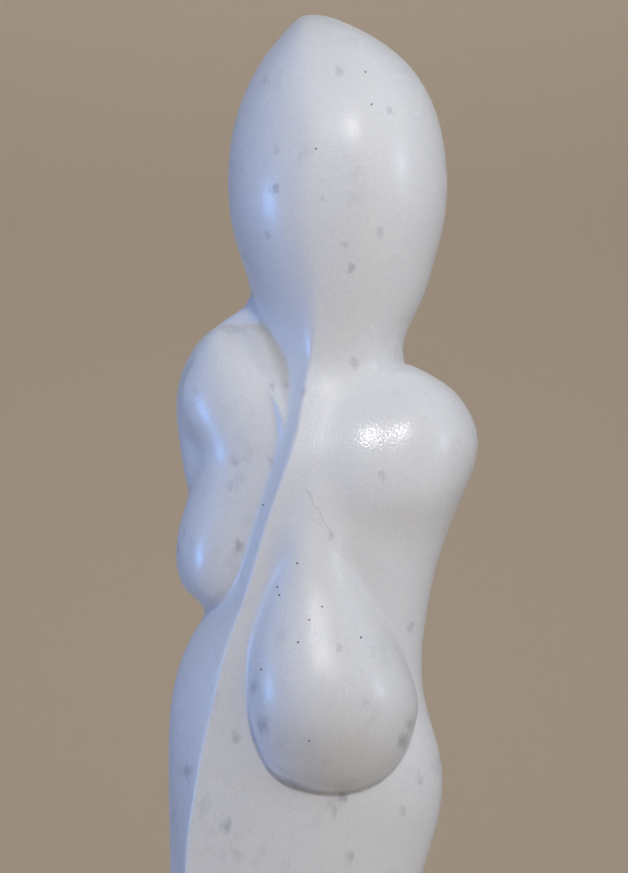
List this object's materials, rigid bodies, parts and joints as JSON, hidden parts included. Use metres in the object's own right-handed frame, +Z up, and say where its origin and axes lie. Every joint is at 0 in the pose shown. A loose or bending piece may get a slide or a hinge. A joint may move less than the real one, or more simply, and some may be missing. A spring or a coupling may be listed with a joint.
{
  "type": "abstract figure statue",
  "caption": "Smooth abstract standing woman in polished white marble, with an egg-shaped head, broad shoulders and a long ridge, on a low base carved from the same block",
  "frame": {"origin": "on the ground under the middle of the base's underside", "axes": "+Z is up, the figure's front faces -Y, and +X is on the viewer's right when the front is looked at"},
  "size_m": [0.118, 0.1019, 0.56],
  "materials": {
    "white_marble": "satin-polished white marble with faint grey clouds and a fine crystal grain"
  },
  "bodies": {
    "root": {"figure": "white_marble"}
  },
  "joints": []
}
